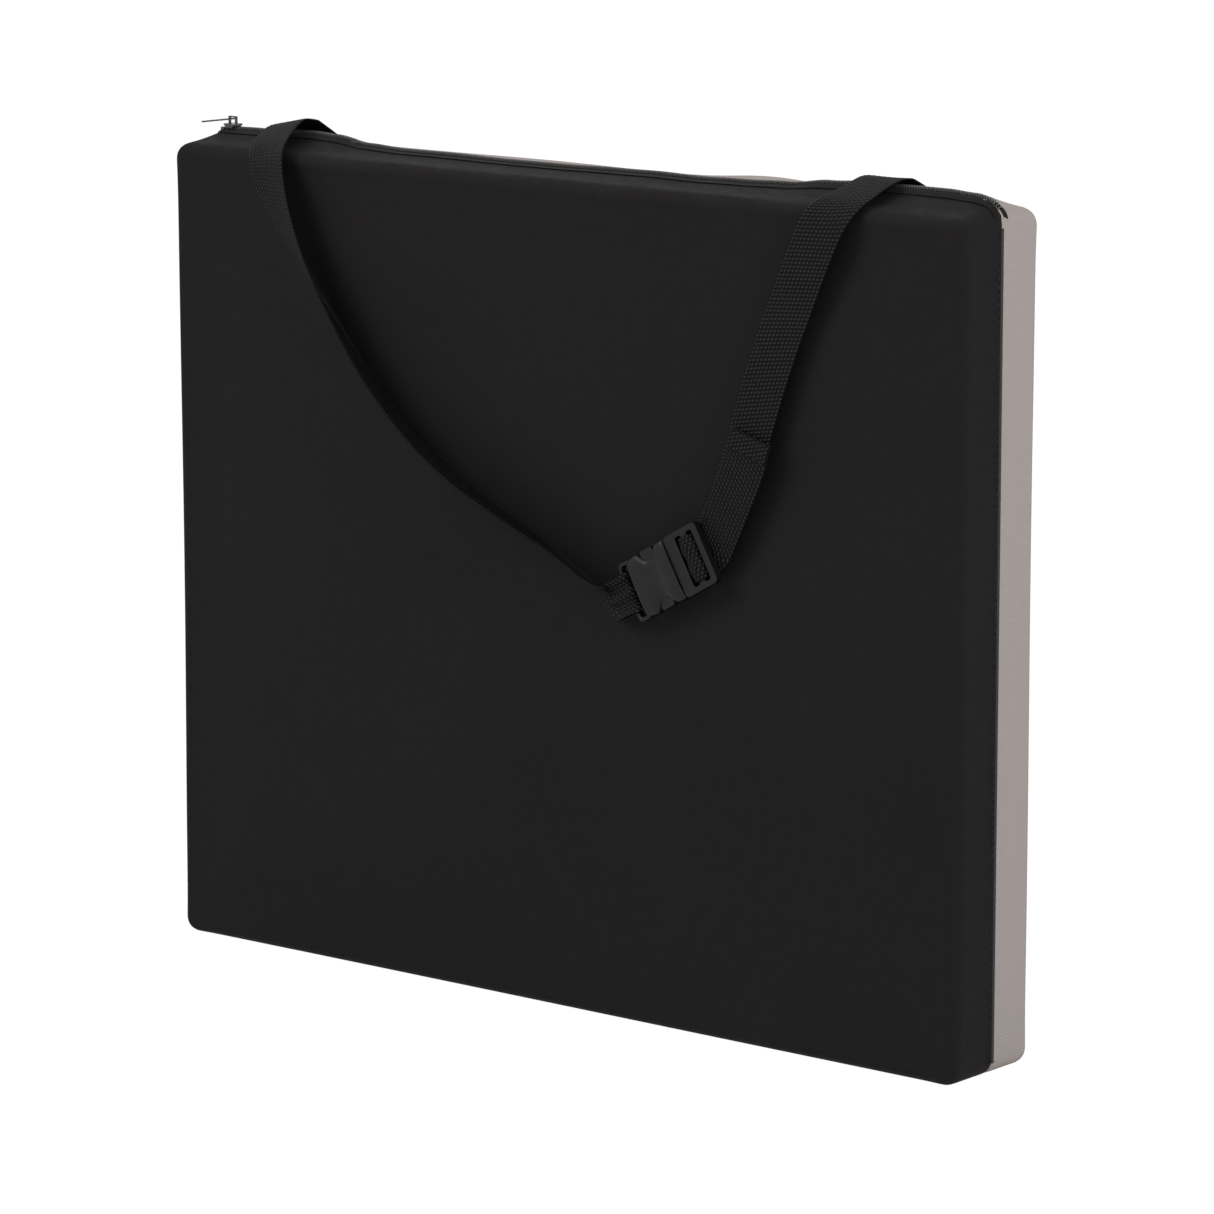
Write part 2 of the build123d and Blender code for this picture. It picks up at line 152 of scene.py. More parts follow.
def plain_material(name, colour, roughness, specular=0.4):
    """A principled material, and its node tree and shader, to which detail is added."""
    made = bpy.data.materials.new(name)
    made.use_nodes = True
    shader = made.node_tree.nodes["Principled BSDF"]
    shader.inputs["Base Color"].default_value = (*colour, 1)
    shader.inputs["Roughness"].default_value = roughness
    shader.inputs["Specular IOR Level"].default_value = specular
    return made, made.node_tree, shader


def surface_place(tree, socket="Object"):
    """The place on the surface that a pattern is laid out by."""
    return tree.nodes.new("ShaderNodeTexCoord").outputs[socket]


def cloudy(tree, place, scale, detail=3.0):
    """Soft noise at a scale in lumps to the metre."""
    noise = tree.nodes.new("ShaderNodeTexNoise")
    noise.inputs["Scale"].default_value = scale
    noise.inputs["Detail"].default_value = detail
    tree.links.new(place, noise.inputs["Vector"])
    return noise.outputs["Fac"]


def spread_between(tree, value, low, high):
    """A value from nought to one, spread between two numbers or two colours."""
    if isinstance(low, tuple):
        ramp = tree.nodes.new("ShaderNodeMix")
        ramp.data_type = "RGBA"
        ramp.inputs["A"].default_value = (*low, 1)
        ramp.inputs["B"].default_value = (*high, 1)
        tree.links.new(value, ramp.inputs["Factor"])
        return ramp.outputs["Result"]
    ranged = tree.nodes.new("ShaderNodeMapRange")
    ranged.inputs["From Min"].default_value = 0.25
    ranged.inputs["From Max"].default_value = 0.75
    ranged.inputs["To Min"].default_value = low
    ranged.inputs["To Max"].default_value = high
    tree.links.new(value, ranged.inputs["Value"])
    return ranged.outputs["Result"]


def raise_by(tree, shader, height, distance, under=None):
    """A bump of a height in metres under the shader, on top of another bump."""
    bump = tree.nodes.new("ShaderNodeBump")
    bump.inputs["Distance"].default_value = distance
    bump.inputs["Strength"].default_value = 1.0
    tree.links.new(height, bump.inputs["Height"])
    if under is not None:
        tree.links.new(under, bump.inputs["Normal"])
    tree.links.new(bump.outputs["Normal"], shader.inputs["Normal"])
    return bump.outputs["Normal"]


foam_material, tree, shader = plain_material("closed_cell_foam", (0.72, 0.70, 0.64), 0.85)
cells = tree.nodes.new("ShaderNodeTexVoronoi")
cells.inputs["Scale"].default_value = 900.0
tree.links.new(surface_place(tree), cells.inputs["Vector"])
raise_by(tree, shader, cells.outputs["Distance"], 0.0003)
tree.links.new(
    spread_between(
        tree, cloudy(tree, surface_place(tree), 40.0), (0.66, 0.64, 0.58), (0.78, 0.76, 0.70)
    ),
    shader.inputs["Base Color"],
)
for name in ("front_foam", "rear_foam"):
    nodes_by_name[name].data.materials.clear()
    nodes_by_name[name].data.materials.append(foam_material)

# The covers and their linings.
# Coated cloth, black in front and warm grey behind, cut as pans and sewn to an
# inner face. The foam fills them tight, so the flat faces crown a little and the
# top edges are drawn up to the zip in a low wavy ridge.
PANEL_LOW, PANEL_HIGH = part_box("rear_cover")
HALF_LENGTH, PANEL_TOP = PANEL_HIGH.x, PANEL_HIGH.z
MEETING_Y, OUTER_Y = PANEL_LOW.y, PANEL_HIGH.y
OUTLINE_RADIUS = 0.009
OUTER_EDGE = 0.006
MEETING_EDGE = 0.0012
COVER_GRID = 0.008
COVER_THICKNESS = 0.0008
SWELL = 0.0024

# The ridge: places along the mat, and how far the zip stands above the outline there.
RIDGE = np.array(
    [
        *((-0.300, 0.0064), (-0.284, 0.0070), (-0.262, 0.0074), (-0.217, 0.0088)),
        *((-0.198, 0.0080), (-0.172, 0.0046), (-0.144, 0.0034), (-0.108, 0.0036)),
        *((-0.068, 0.0032), (-0.022, 0.0034), (0.024, 0.0042), (0.054, 0.0046)),
        *((0.084, 0.0041), (0.114, 0.0048), (0.150, 0.0060), (0.179, 0.0090)),
        *((0.205, 0.0104), (0.262, 0.0106), (0.281, 0.0096), (0.300, 0.0064)),
    ]
)
RIDGE_REACH = 0.037
COIL_CLEAR = 0.0016
# Each puff of the rear top: its place along the mat, its reach and its height.
PUFFS = ((0.118, 0.045, 0.0048), (0.266, 0.016, 0.0055), (-0.05, 0.08, 0.0015))


def outline_top(x):
    """The height of the panels' outline: level, and then a quarter circle at each end."""
    past = np.clip(np.abs(x) - (HALF_LENGTH - OUTLINE_RADIUS), 0, OUTLINE_RADIUS)
    return PANEL_TOP - OUTLINE_RADIUS + np.sqrt(OUTLINE_RADIUS**2 - past**2)


def ridge_rise(x):
    """How far the zip's middle stands above the outline: the listed heights, joined by
    curves that start and end level, as three t squared less two t cubed."""
    places, rises = RIDGE.T
    x = np.clip(x, places[0], places[-1])
    step = np.clip(np.searchsorted(places, x, side="right") - 1, 0, len(places) - 2)
    t = (x - places[step]) / (places[step + 1] - places[step])
    t = t * t * (3 - 2 * t)
    return rises[step] * (1 - t) + rises[step + 1] * t


def cloth_rise(x, y):
    """How far the cloth is drawn up at a distance from the middle: the ridge's rise, less the
    room for the coil, falling away to the outside as a power of the distance."""
    near = np.clip(1 - (np.abs(y) - MEETING_Y) / RIDGE_REACH, 0, 1)
    return (ridge_rise(x) - COIL_CLEAR) * near**1.6


def spaced_rows(low, high, edge, step):
    """Rows along one side: four close ones across each rounded edge, and even ones between."""
    corner = edge * np.array([0.0, 0.35, 0.68])
    middle = np.linspace(low + edge, high - edge, round((high - low - 2 * edge) / step) + 1)
    return np.concatenate([low + corner, middle, (high - corner)[::-1]])


def quarter(radius, steps):
    """How far in and how far along a quarter circle goes, from its start to its end."""
    turn = np.linspace(0, math.pi / 2, steps + 1)
    return radius * (1 - np.cos(turn)), radius * np.sin(turn)


def quads(numbers, turned=False):
    """Quads between the neighbours in a grid of point numbers, turned over if asked."""
    corners = [numbers[:-1, :-1], numbers[1:, :-1], numbers[1:, 1:], numbers[:-1, 1:]]
    fours = np.stack(corners, -1).reshape(-1, 4)
    return fours[:, ::-1] if turned else fours


def panel_skin(side):
    """A closed panel: the skin of a box lattice of rows along X, Y and Z. The square corner of
    each layer's outline is drawn onto a circle, as far from its core as its larger offset, and
    then drawn in by the layer's own inset, which follows a quarter circle at both edges.
    Returns the points, the quads, and which quads are the inner face."""
    xs = spaced_rows(-HALF_LENGTH, HALF_LENGTH, OUTLINE_RADIUS, COVER_GRID)
    zs = spaced_rows(0.0, PANEL_TOP, OUTLINE_RADIUS, COVER_GRID)
    inner_in, inner_along = quarter(MEETING_EDGE, 2)
    outer_in, outer_along = quarter(OUTER_EDGE, 4)
    straight = np.linspace(MEETING_Y + MEETING_EDGE, OUTER_Y - OUTER_EDGE, 6)[1:-1]
    ys = np.concatenate(
        [MEETING_Y + MEETING_EDGE - inner_along[::-1], straight, OUTER_Y - OUTER_EDGE + outer_along]
    )
    inset = np.concatenate([inner_in[::-1], np.zeros(len(straight)), outer_in])

    shape = (len(xs), len(ys), len(zs))
    on_skin = np.zeros(shape, bool)
    on_skin[[0, -1]] = on_skin[:, [0, -1]] = on_skin[:, :, [0, -1]] = True
    number = np.full(shape, -1)
    number[on_skin] = np.arange(on_skin.sum())
    i, j, k = np.nonzero(on_skin)
    flat = np.stack([xs[i], zs[k]], -1)
    low = np.array([-HALF_LENGTH, 0.0]) + OUTLINE_RADIUS
    high = np.array([HALF_LENGTH, PANEL_TOP]) - OUTLINE_RADIUS
    core = np.clip(flat, low, high)
    away = flat - core
    reach = np.maximum(np.linalg.norm(away, axis=1), 1e-9)
    away *= (np.abs(away).max(axis=1) / reach)[:, None]
    flat = core + away * (1 - inset[j] / OUTLINE_RADIUS)[:, None]
    points = np.stack([flat[:, 0], side * ys[j], flat[:, 1]], -1)

    flip = side < 0
    inner = quads(number[:, 0], flip)
    sides = [
        quads(number[:, -1], not flip),
        quads(number[0], not flip),
        quads(number[-1], flip),
        quads(number[:, :, 0], not flip),
        quads(number[:, :, -1], flip),
    ]
    faces = np.concatenate([inner, *sides])
    return points, faces, np.arange(len(faces)) < len(inner)


def mesh_object(name, points, faces):
    """An object at the origin whose smooth mesh has these points and faces."""
    mesh = bpy.data.meshes.new(name)
    mesh.from_pydata(points.tolist(), [], faces.tolist() if hasattr(faces, "tolist") else faces)
    mesh.polygons.foreach_set("use_smooth", [True] * len(mesh.polygons))
    mesh.update()
    made = bpy.data.objects.new(name, mesh)
    scene.collection.objects.link(made)
    return made


def filled_out(points, faces, held):
    """The points after twenty frames of cloth under a light pressure, with the seam held. What
    would go inwards along a point's normal is taken off, because the foam is there, and the
    travel is drawn towards the swell by a hyperbolic tangent."""
    trial = mesh_object("filling", points, faces)
    outwards = np.empty(len(points) * 3, np.float32)
    trial.data.vertex_normals.foreach_get("vector", outwards)
    outwards = outwards.reshape(-1, 3).astype(float)
    group = trial.vertex_groups.new(name="sewn")
    group.add(np.nonzero(held)[0].tolist(), 1.0, "REPLACE")
    cloth = trial.modifiers.new("cloth", "CLOTH")
    cloth.settings.quality = 4
    cloth.settings.mass = 0.3
    cloth.settings.tension_stiffness = 12
    cloth.settings.compression_stiffness = 12
    cloth.settings.bending_stiffness = 0.6
    cloth.settings.use_pressure = True
    cloth.settings.uniform_pressure_force = 4.0
    cloth.settings.effector_weights.gravity = 0.0
    cloth.settings.vertex_group_mass = "sewn"
    cloth.collision_settings.use_collision = False
    for step in range(1, 21):
        scene.frame_set(step)
    shaped = trial.evaluated_get(bpy.context.evaluated_depsgraph_get()).to_mesh()
    after = np.empty(len(points) * 3, np.float32)
    shaped.vertices.foreach_get("co", after)
    bpy.data.objects.remove(trial)
    scene.frame_set(1)
    moved = after.reshape(-1, 3).astype(float) - points
    moved -= np.minimum((moved * outwards).sum(1), 0)[:, None] * outwards
    far = np.maximum(np.linalg.norm(moved, axis=1), 1e-9)
    return points + moved * (SWELL * np.tanh(far / (3 * SWELL)) / far)[:, None]


def slack(points, side):
    """Long shallow waves in the cloth: sines along the panel that die away down from the top,
    and slow ones over the whole face."""
    x, y, z = points.T
    face = np.clip((np.abs(y) - 0.030) / 0.006, 0, 1)
    down = np.exp(-(PANEL_TOP - z) / 0.045)
    near_top = 0.0007 * np.sin(52 * x + 1.3 * side) * down + 0.0005 * np.sin(97 * x + 9 * z) * down
    slow = 0.0005 * np.sin(11 * x + 7 * z) + 0.0004 * np.sin(17 * z - 6 * x + side)
    moved = points.copy()
    moved[:, 1] += side * face * (near_top + slow)
    return moved


def top_share(x, z):
    """One on the panels' outline, fading to nought ten millimetres below it, and level at both."""
    top = np.clip((z - outline_top(x) + 0.010) / 0.010, 0, 1)
    return top * top * (3 - 2 * top)


def drawn_up(points, side):
    """The top of a panel, drawn up towards the zip and fading out down the sides. The rear top
    also puffs up in places, as bells along it and a half wave across."""
    x, y, z = points.T
    top = top_share(x, z)
    moved = points.copy()
    moved[:, 2] += cloth_rise(x, y) * top
    if side > 0:
        across = np.sin(math.pi * np.clip((y - 0.004) / (OUTER_Y - 0.004), 0, 1) ** 1.3)
        for place, reach, height in PUFFS:
            moved[:, 2] += height * np.exp(-(((x - place) / reach) ** 2)) * across * top
    moved[:, 1] = side * np.maximum(np.abs(moved[:, 1]), 0.00022)
    return moved


def coated_cloth(name, colour, mottle, rib, grain):
    """Coated cloth: a fine grain, faint clouds of colour, and fine level ribs of a given depth."""
    made, tree, shader = plain_material(name, colour, 0.7, 0.05)
    place = surface_place(tree)
    clouds = cloudy(tree, place, 9.0, 5.0)
    dark = tuple(c * (1 - mottle) for c in colour)
    pale = tuple(c * (1 + mottle) for c in colour)
    tree.links.new(spread_between(tree, clouds, dark, pale), shader.inputs["Base Color"])
    tree.links.new(
        spread_between(tree, cloudy(tree, place, 130.0, 4.0), 0.62, 0.78),
        shader.inputs["Roughness"],
    )
    under = raise_by(tree, shader, cloudy(tree, place, 1500.0, 2.0), grain)
    wave = tree.nodes.new("ShaderNodeTexWave")
    wave.wave_type = "BANDS"
    wave.bands_direction = "Z"
    wave.inputs["Scale"].default_value = 160.0
    wave.inputs["Distortion"].default_value = 0.6
    wave.inputs["Detail"].default_value = 1.0
    tree.links.new(place, wave.inputs["Vector"])
    raise_by(tree, shader, wave.outputs["Fac"], rib, under=under)
    return made


black_cloth = coated_cloth("black_coated_cloth", (0.0118, 0.0106, 0.0108), 0.12, 0.00002, 0.00006)
grey_cloth = coated_cloth("grey_coated_cloth", (0.326, 0.290, 0.277), 0.03, 0.00012, 0.00004)
PANELS = (("front", -1, black_cloth, "black_cover"), ("rear", 1, grey_cloth, "grey_cover"))

for name, side, cloth_material, slot in PANELS:
    points, faces, is_lining = panel_skin(side)
    sewn = np.abs(points[:, 1]) < MEETING_Y + MEETING_EDGE + 1e-5
    points = filled_out(points, faces, sewn)
    points = drawn_up(slack(points, side), side)
    for piece_name, chosen, node in (
        (f"{name}_cover_cloth", ~is_lining, f"{name}_cover"),
        (f"{name}_inner_cloth", is_lining, f"{name}_lining"),
    ):
        used, numbers = np.unique(faces[chosen], return_inverse=True)
        piece = mesh_object(piece_name, points[used], numbers.reshape(-1, 4))
        piece.data.materials.append(cloth_material)
        wall = piece.modifiers.new("cloth thickness", "SOLIDIFY")
        wall.thickness = COVER_THICKNESS
        wall.offset = -1
        finer = piece.modifiers.new("finer", "SUBSURF")
        finer.levels = finer.render_levels = 1
        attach(piece, f"{name}_panel")
        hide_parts(node)

# The seam down the right end.
# The two covers are sewn edge to edge there, and the thread draws the cloth into
# small puckers. A round of binding runs inside, and the mat folds about it.
SEAM_LOW, SEAM_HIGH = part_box("spine_seam")
STITCH_PITCH = 0.0049
PUCKER = 0.00028
PUCKER_WIDTH = 0.0065
SEAM_PROUD = 0.00012
STITCH_LENGTH, STITCH_RADIUS = 0.0036, 0.00022
STITCH_Y = 0.0019


def outline_end(z):
    """How far along the panels' outline reaches: square, and then a quarter circle at the top."""
    past = np.clip(z - (PANEL_TOP - OUTLINE_RADIUS), 0, OUTLINE_RADIUS)
    return HALF_LENGTH - OUTLINE_RADIUS + np.sqrt(OUTLINE_RADIUS**2 - past**2)


def seam_edge(side):
    """A strip of cloth beside the seam: a grid down the end and away from the middle, whose
    depth is a sine at the stitches' pitch, dying away from the seam as an exponential."""
    z = np.linspace(SEAM_LOW.z, PANEL_TOP - 0.0012, 715)
    y = MEETING_Y * 0.5 + PUCKER_WIDTH * np.linspace(0, 1, 9) ** 1.4
    z, y = np.meshgrid(z, y, indexing="ij")
    fade = np.exp(-y / 0.0022)
    wander = 1 + 0.4 * np.sin(z * 61 + side)
    depth = PUCKER * wander * np.sin(2 * math.pi * z / STITCH_PITCH + 2.0 * side) * fade
    x = outline_end(z) + SEAM_PROUD + depth - 0.0006 * (y / PUCKER_WIDTH) ** 4
    x = x - 0.0005 * np.exp(-y / 0.0005)
    z = z + cloth_rise(outline_end(z), y) * top_share(outline_end(z), z)
    return np.stack([x, side * y, z], -1)


def grid_faces(rows, columns, turned=False, closed=False, joined=False):
    """The quads of rows and columns of points. The last column meets the first if closed, and
    the last row meets the first if joined."""
    numbers = np.arange(rows * columns).reshape(rows, columns)
    if joined:
        numbers = np.concatenate([numbers, numbers[:1]])
    if closed:
        numbers = np.concatenate([numbers, numbers[:, :1]], axis=1)
    return quads(numbers, turned)


for name, side, cloth_material, slot in PANELS:
    strip = seam_edge(side)
    rows, columns = strip.shape[:2]
    piece = mesh_object(
        f"{name}_seam_edge", strip.reshape(-1, 3), grid_faces(rows, columns, turned=side > 0)
    )
    piece.data.materials.append(cloth_material)
    wall = piece.modifiers.new("cloth thickness", "SOLIDIFY")
    wall.thickness = 0.0004
    wall.offset = -1
    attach(piece, f"{name}_panel")


def thread_row(name, places, along, out, length, radius, material):
    """Stitches: at each place a short bead, round across and half an ellipse along, with its
    long axis one way and its height another. Six faces round by four along."""
    turn = np.linspace(0, 2 * math.pi, 6, endpoint=False)
    reach = np.sin(np.linspace(-1.35, 1.35, 5))
    girth = np.sqrt(np.clip(1 - reach**2, 0.05, 1))
    side = np.cross(along, out)
    ring = np.cos(turn)[:, None, None] * side + np.sin(turn)[:, None, None] * out
    bead = (
        reach[:, None, None, None] * along * length / 2
        + girth[:, None, None, None] * radius * ring
    )
    points = (bead + places).transpose(2, 0, 1, 3)
    count = len(places)
    one = grid_faces(5, 6, closed=True)
    caps = [list(range(6)), list(range(24, 30))[::-1]]
    faces = (one[None] + 30 * np.arange(count)[:, None, None]).reshape(-1, 4).tolist()
    faces += [[30 * n + v for v in cap] for n in range(count) for cap in caps]
    made = mesh_object(name, points.reshape(-1, 3), faces)
    made.data.materials.append(material)
    return made


def thread_material(name, colour):
    """Twisted sewing thread: a fine slanting ridge."""
    made, tree, shader = plain_material(name, colour, 0.55)
    wave = tree.nodes.new("ShaderNodeTexWave")
    wave.bands_direction = "DIAGONAL"
    wave.inputs["Scale"].default_value = 900.0
    tree.links.new(surface_place(tree), wave.inputs["Vector"])
    raise_by(tree, shader, wave.outputs["Fac"], 0.00005)
    return made


black_thread = thread_material("black_thread", (0.016, 0.015, 0.015))
grey_thread = thread_material("grey_thread", (0.42, 0.38, 0.36))
for name, side, thread, body in (
    ("front", -1, black_thread, "front_panel"),
    ("rear", 1, grey_thread, "rear_panel"),
):
    z = np.arange(SEAM_LOW.z + STITCH_PITCH, SEAM_HIGH.z - STITCH_PITCH, STITCH_PITCH)
    end, middle = np.full_like(z, HALF_LENGTH + SEAM_PROUD), np.full_like(z, side * STITCH_Y)
    places = np.stack([end, middle, z], -1)
    along = np.broadcast_to(np.array([0.0, 0.12 * side, 0.993]), places.shape)
    out = np.broadcast_to(np.array([1.0, 0.0, 0.0]), places.shape)
    row = thread_row(
        f"{name}_seam_stitches", places, along, out, STITCH_LENGTH, STITCH_RADIUS, thread
    )
    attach(row, body)

nodes_by_name["spine_seam"].data.materials.clear()
nodes_by_name["spine_seam"].data.materials.append(black_thread)

# The zip.
# Each panel carries a narrow woven tape with a nylon coil sewn along its edge.
# The coils mesh in a wavy ridge above the middle, between lacquered end stops.
COIL_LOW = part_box("rear_zip_coil")[0]
COIL_PITCH = 0.0018
COIL_RADIUS = 0.00105
WIRE_RADIUS = 0.00036
COIL_OFFSET = 0.00115
TAPE_START, TAPE_FOOT = 0.0020, 0.0062


def zip_tape(side):
    """A tape's grid, along the ridge and down from the coil: it leaves the coil level and then
    falls as a power of its share of the width, to lie on the drawn-up cloth."""
    x = np.linspace(COIL_LOW.x - 0.004, HALF_LENGTH - 0.0002, 520)
    t = np.linspace(0, 1, 9)
    x, t = np.meshgrid(x, t, indexing="ij")
    y = TAPE_START + (TAPE_FOOT - TAPE_START) * t
    foot = cloth_rise(x, y) + 0.0005
    crest = ridge_rise(x) - 0.0010
    z = outline_top(x) + crest + (foot - crest) * np.clip(1.5 * t - 0.2, 0, 1) ** 0.9
    return np.stack([x, side * y, z], -1)


def run_along(points):
    """How far along a line each of its points is."""
    return np.concatenate([[0], np.cumsum(np.linalg.norm(np.diff(points, axis=0), axis=1))])


def coil_path(side):
    """A coil: a helix of seven points a turn, at an even pitch along the ridge's own length, and
    a wire of five points round it, along the turn's radius and along the zip."""
    ends = (COIL_LOW.x, HALF_LENGTH - 0.0012)
    fine = np.linspace(*ends, 4000)
    beside = np.full_like(fine, side * COIL_OFFSET)
    ridge = np.stack([fine, beside, outline_top(fine) + ridge_rise(fine)], -1)
    run = run_along(ridge)
    turns = int(run[-1] / COIL_PITCH)
    s = np.linspace(0, turns * COIL_PITCH, turns * 7 + 1)
    centre = np.stack([np.interp(s, run, column) for column in ridge.T], -1)
    along = np.gradient(centre, axis=0)
    along /= np.linalg.norm(along, axis=1)[:, None]
    across = np.array([0.0, side, 0.0])
    up = np.cross(along, across) * -side
    angle = (2 * math.pi * s / COIL_PITCH)[:, None]
    radial = np.cos(angle) * across + 0.9 * np.sin(angle) * up
    turn = np.linspace(0, 2 * math.pi, 5, endpoint=False)[:, None]
    wire = (centre + COIL_RADIUS * radial)[:, None, :]
    wire = wire + WIRE_RADIUS * np.cos(turn) * radial[:, None, :]
    return wire + WIRE_RADIUS * 1.2 * np.sin(turn) * along[:, None, :]


def capped(rows, columns):
    """The faces of a tube of rings with both ends closed."""
    last = (rows - 1) * columns
    faces = grid_faces(rows, columns, closed=True).tolist()
    return faces + [list(range(columns)), list(range(last, last + columns))[::-1]]


def face_outwards(piece):
    """The piece with its normals recalculated to point out of it."""
    work = bmesh.new()
    work.from_mesh(piece.data)
    bmesh.ops.recalc_face_normals(work, faces=work.faces)
    work.to_mesh(piece.data)
    work.free()
    return piece


def woven_tape(name, colour, pitch):
    """Narrow woven tape: fine ribs both ways, and a dry sheen."""
    made, tree, shader = plain_material(name, colour, 0.8, 0.1)
    under = None
    for direction in ("X", "DIAGONAL"):
        wave = tree.nodes.new("ShaderNodeTexWave")
        wave.bands_direction = direction
        wave.inputs["Scale"].default_value = 0.314 / pitch
        tree.links.new(surface_place(tree), wave.inputs["Vector"])
        under = raise_by(tree, shader, wave.outputs["Fac"], 0.00012, under=under)
    shader.inputs["Sheen Weight"].default_value = 0.05
    return made


tape_material = woven_tape("zip_tape_weave", (0.005, 0.0048, 0.0048), 0.0011)
coil_material, tree, shader = plain_material("nylon_coil", (0.026, 0.025, 0.024), 0.32, 0.5)
raise_by(tree, shader, cloudy(tree, surface_place(tree), 1200.0), 0.00004)

for name, side in (("front", -1), ("rear", 1)):
    grid = zip_tape(side)
    rows, columns = grid.shape[:2]
    tape = mesh_object(
        f"{name}_tape_weave", grid.reshape(-1, 3), grid_faces(rows, columns, turned=side < 0)
    )
    tape.data.materials.append(tape_material)
    wall = tape.modifiers.new("tape thickness", "SOLIDIFY")
    wall.thickness = 0.0005
    wall.offset = 0
    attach(tape, f"{name}_panel")
    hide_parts(f"{name}_zip_tape")

    wire = coil_path(side)
    rows, columns = wire.shape[:2]
    coil = mesh_object(f"{name}_coil_wire", wire.reshape(-1, 3), capped(rows, columns))
    face_outwards(coil)
    coil.data.materials.append(coil_material)
    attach(coil, f"{name}_panel")
    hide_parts(f"{name}_zip_coil")

# The slider, its pull and the stops.
# Die-cast and lacquered black. The pull hangs from the slider's crown, and the
# stops are clamped on the ends of the tapes.
lacquer, tree, shader = plain_material("black_lacquer", (0.014, 0.0135, 0.0135), 0.3, 0.5)
shader.inputs["Coat Weight"].default_value = 0.25
tree.links.new(
    spread_between(tree, cloudy(tree, surface_place(tree), 900.0), 0.24, 0.42),
    shader.inputs["Roughness"],
)
raise_by(tree, shader, cloudy(tree, surface_place(tree), 2500.0), 0.00002)
for name in ("zip_slider", "pull_tab", "front_top_stop", "rear_top_stop", "zip_bottom_stop"):
    nodes_by_name[name].data.materials.clear()
    nodes_by_name[name].data.materials.append(lacquer)

# The strap.
# Black ribbed webbing, thirty millimetres wide. Both ends are box-stitched to the
# top of the rear panel, cross the zip and hang down the front to the buckle.
WEBBING_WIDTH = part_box("strap_end_left")[1].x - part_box("strap_end_left")[0].x
WEBBING_THICKNESS = 0.0014
RIB_PITCH = 0.0026
RIB_HEIGHT = 0.00022
RIB_COLUMNS = 12
ACROSS_POINTS = 3 * RIB_COLUMNS
STRAP_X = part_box("strap_end_right")[0].x + WEBBING_WIDTH / 2
SEWN_LOW, SEWN_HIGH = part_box("strap_end_right")


def rounded_route(route, rounds=4):
    """A route with its corners cut: each run gives its points a quarter and three quarters along,
    again and again, and the ends stay. A row is a place, a way across and a width's share."""
    line = np.array(route, float)
    for _ in range(rounds):
        early, late = 0.75 * line[:-1] + 0.25 * line[1:], 0.25 * line[:-1] + 0.75 * line[1:]
        middle = np.stack([early, late], 1).reshape(-1, line.shape[1])
        line = np.concatenate([line[:1], middle, line[-1:]])
    return line


def webbing(name, route, material, start=0.0, end=1.0):
    """A strap along part of a route: closed rings round a flat section, whose ribs stand proud
    as half sines in columns across, each a chain of sines along, and every other column is half
    a rib further on. The section is square to the route, and turns with its way across."""
    line = rounded_route(route)
    run = run_along(line[:, :3])
    count = max(8, int((end - start) * run[-1] / (RIB_PITCH / 4)))
    s = np.linspace(start * run[-1], end * run[-1], count)
    line = np.stack([np.interp(s, run, column) for column in line.T], -1)
    place, across, share = line[:, :3], line[:, 3:6], line[:, 6]
    along = np.gradient(place, axis=0)
    along /= np.linalg.norm(along, axis=1)[:, None]
    across = across - (across * along).sum(1)[:, None] * along
    across /= np.linalg.norm(across, axis=1)[:, None]
    normal = np.cross(along, across)

    v = np.linspace(-1, 1, ACROSS_POINTS + 1)
    column = np.floor((v[:-1] + v[1:]) / 4 * RIB_COLUMNS + RIB_COLUMNS)
    column = np.append(column, column[-1])
    half = WEBBING_THICKNESS / 2 * (1 - 0.55 * np.abs(v) ** 14)
    chain = 0.5 + 0.5 * np.sin(2 * math.pi * s[:, None] / RIB_PITCH + math.pi * (column % 2))
    bead = RIB_HEIGHT * np.abs(np.sin((v + 1) / 2 * math.pi * RIB_COLUMNS)) ** 0.5 * chain
    high = half + bead - RIB_HEIGHT / 2
    offset = np.broadcast_to(np.concatenate([v, v[::-1]]), (count, 2 * len(v)))
    height = np.concatenate([high, -high[:, ::-1]], 1)
    spread = offset * (share * WEBBING_WIDTH / 2)[:, None]
    folds = (1 - share)[:, None] * 0.006 * np.cos(2.2 * math.pi * offset)
    points = (
        place[:, None, :]
        + spread[..., None] * across[:, None, :]
        + (height + folds)[..., None] * normal[:, None, :]
    )
    rows, columns = points.shape[:2]
    made = face_outwards(mesh_object(name, points.reshape(-1, 3), capped(rows, columns)))
    laid = np.stack(
        [
            np.broadcast_to((offset + 1) / 2 * RIB_COLUMNS, (rows, columns)),
            np.broadcast_to(s[:, None] / RIB_PITCH, (rows, columns)),
        ],
        -1,
    ).reshape(-1, 2)
    corner = np.empty(len(made.data.loops), np.int32)
    made.data.loops.foreach_get("vertex_index", corner)
    made.data.uv_layers.new(name="ribs").data.foreach_set("uv", laid[corner].ravel())
    made.data.materials.append(material)
    return made


def worked_out(tree, operation, *values):
    """A number worked out from other numbers or sockets, by one operation."""
    step = tree.nodes.new("ShaderNodeMath")
    step.operation = operation
    for socket, value in zip(step.inputs, values):
        if isinstance(value, (int, float)):
            socket.default_value = value
        else:
            tree.links.new(value, socket)
    return step.outputs[0]


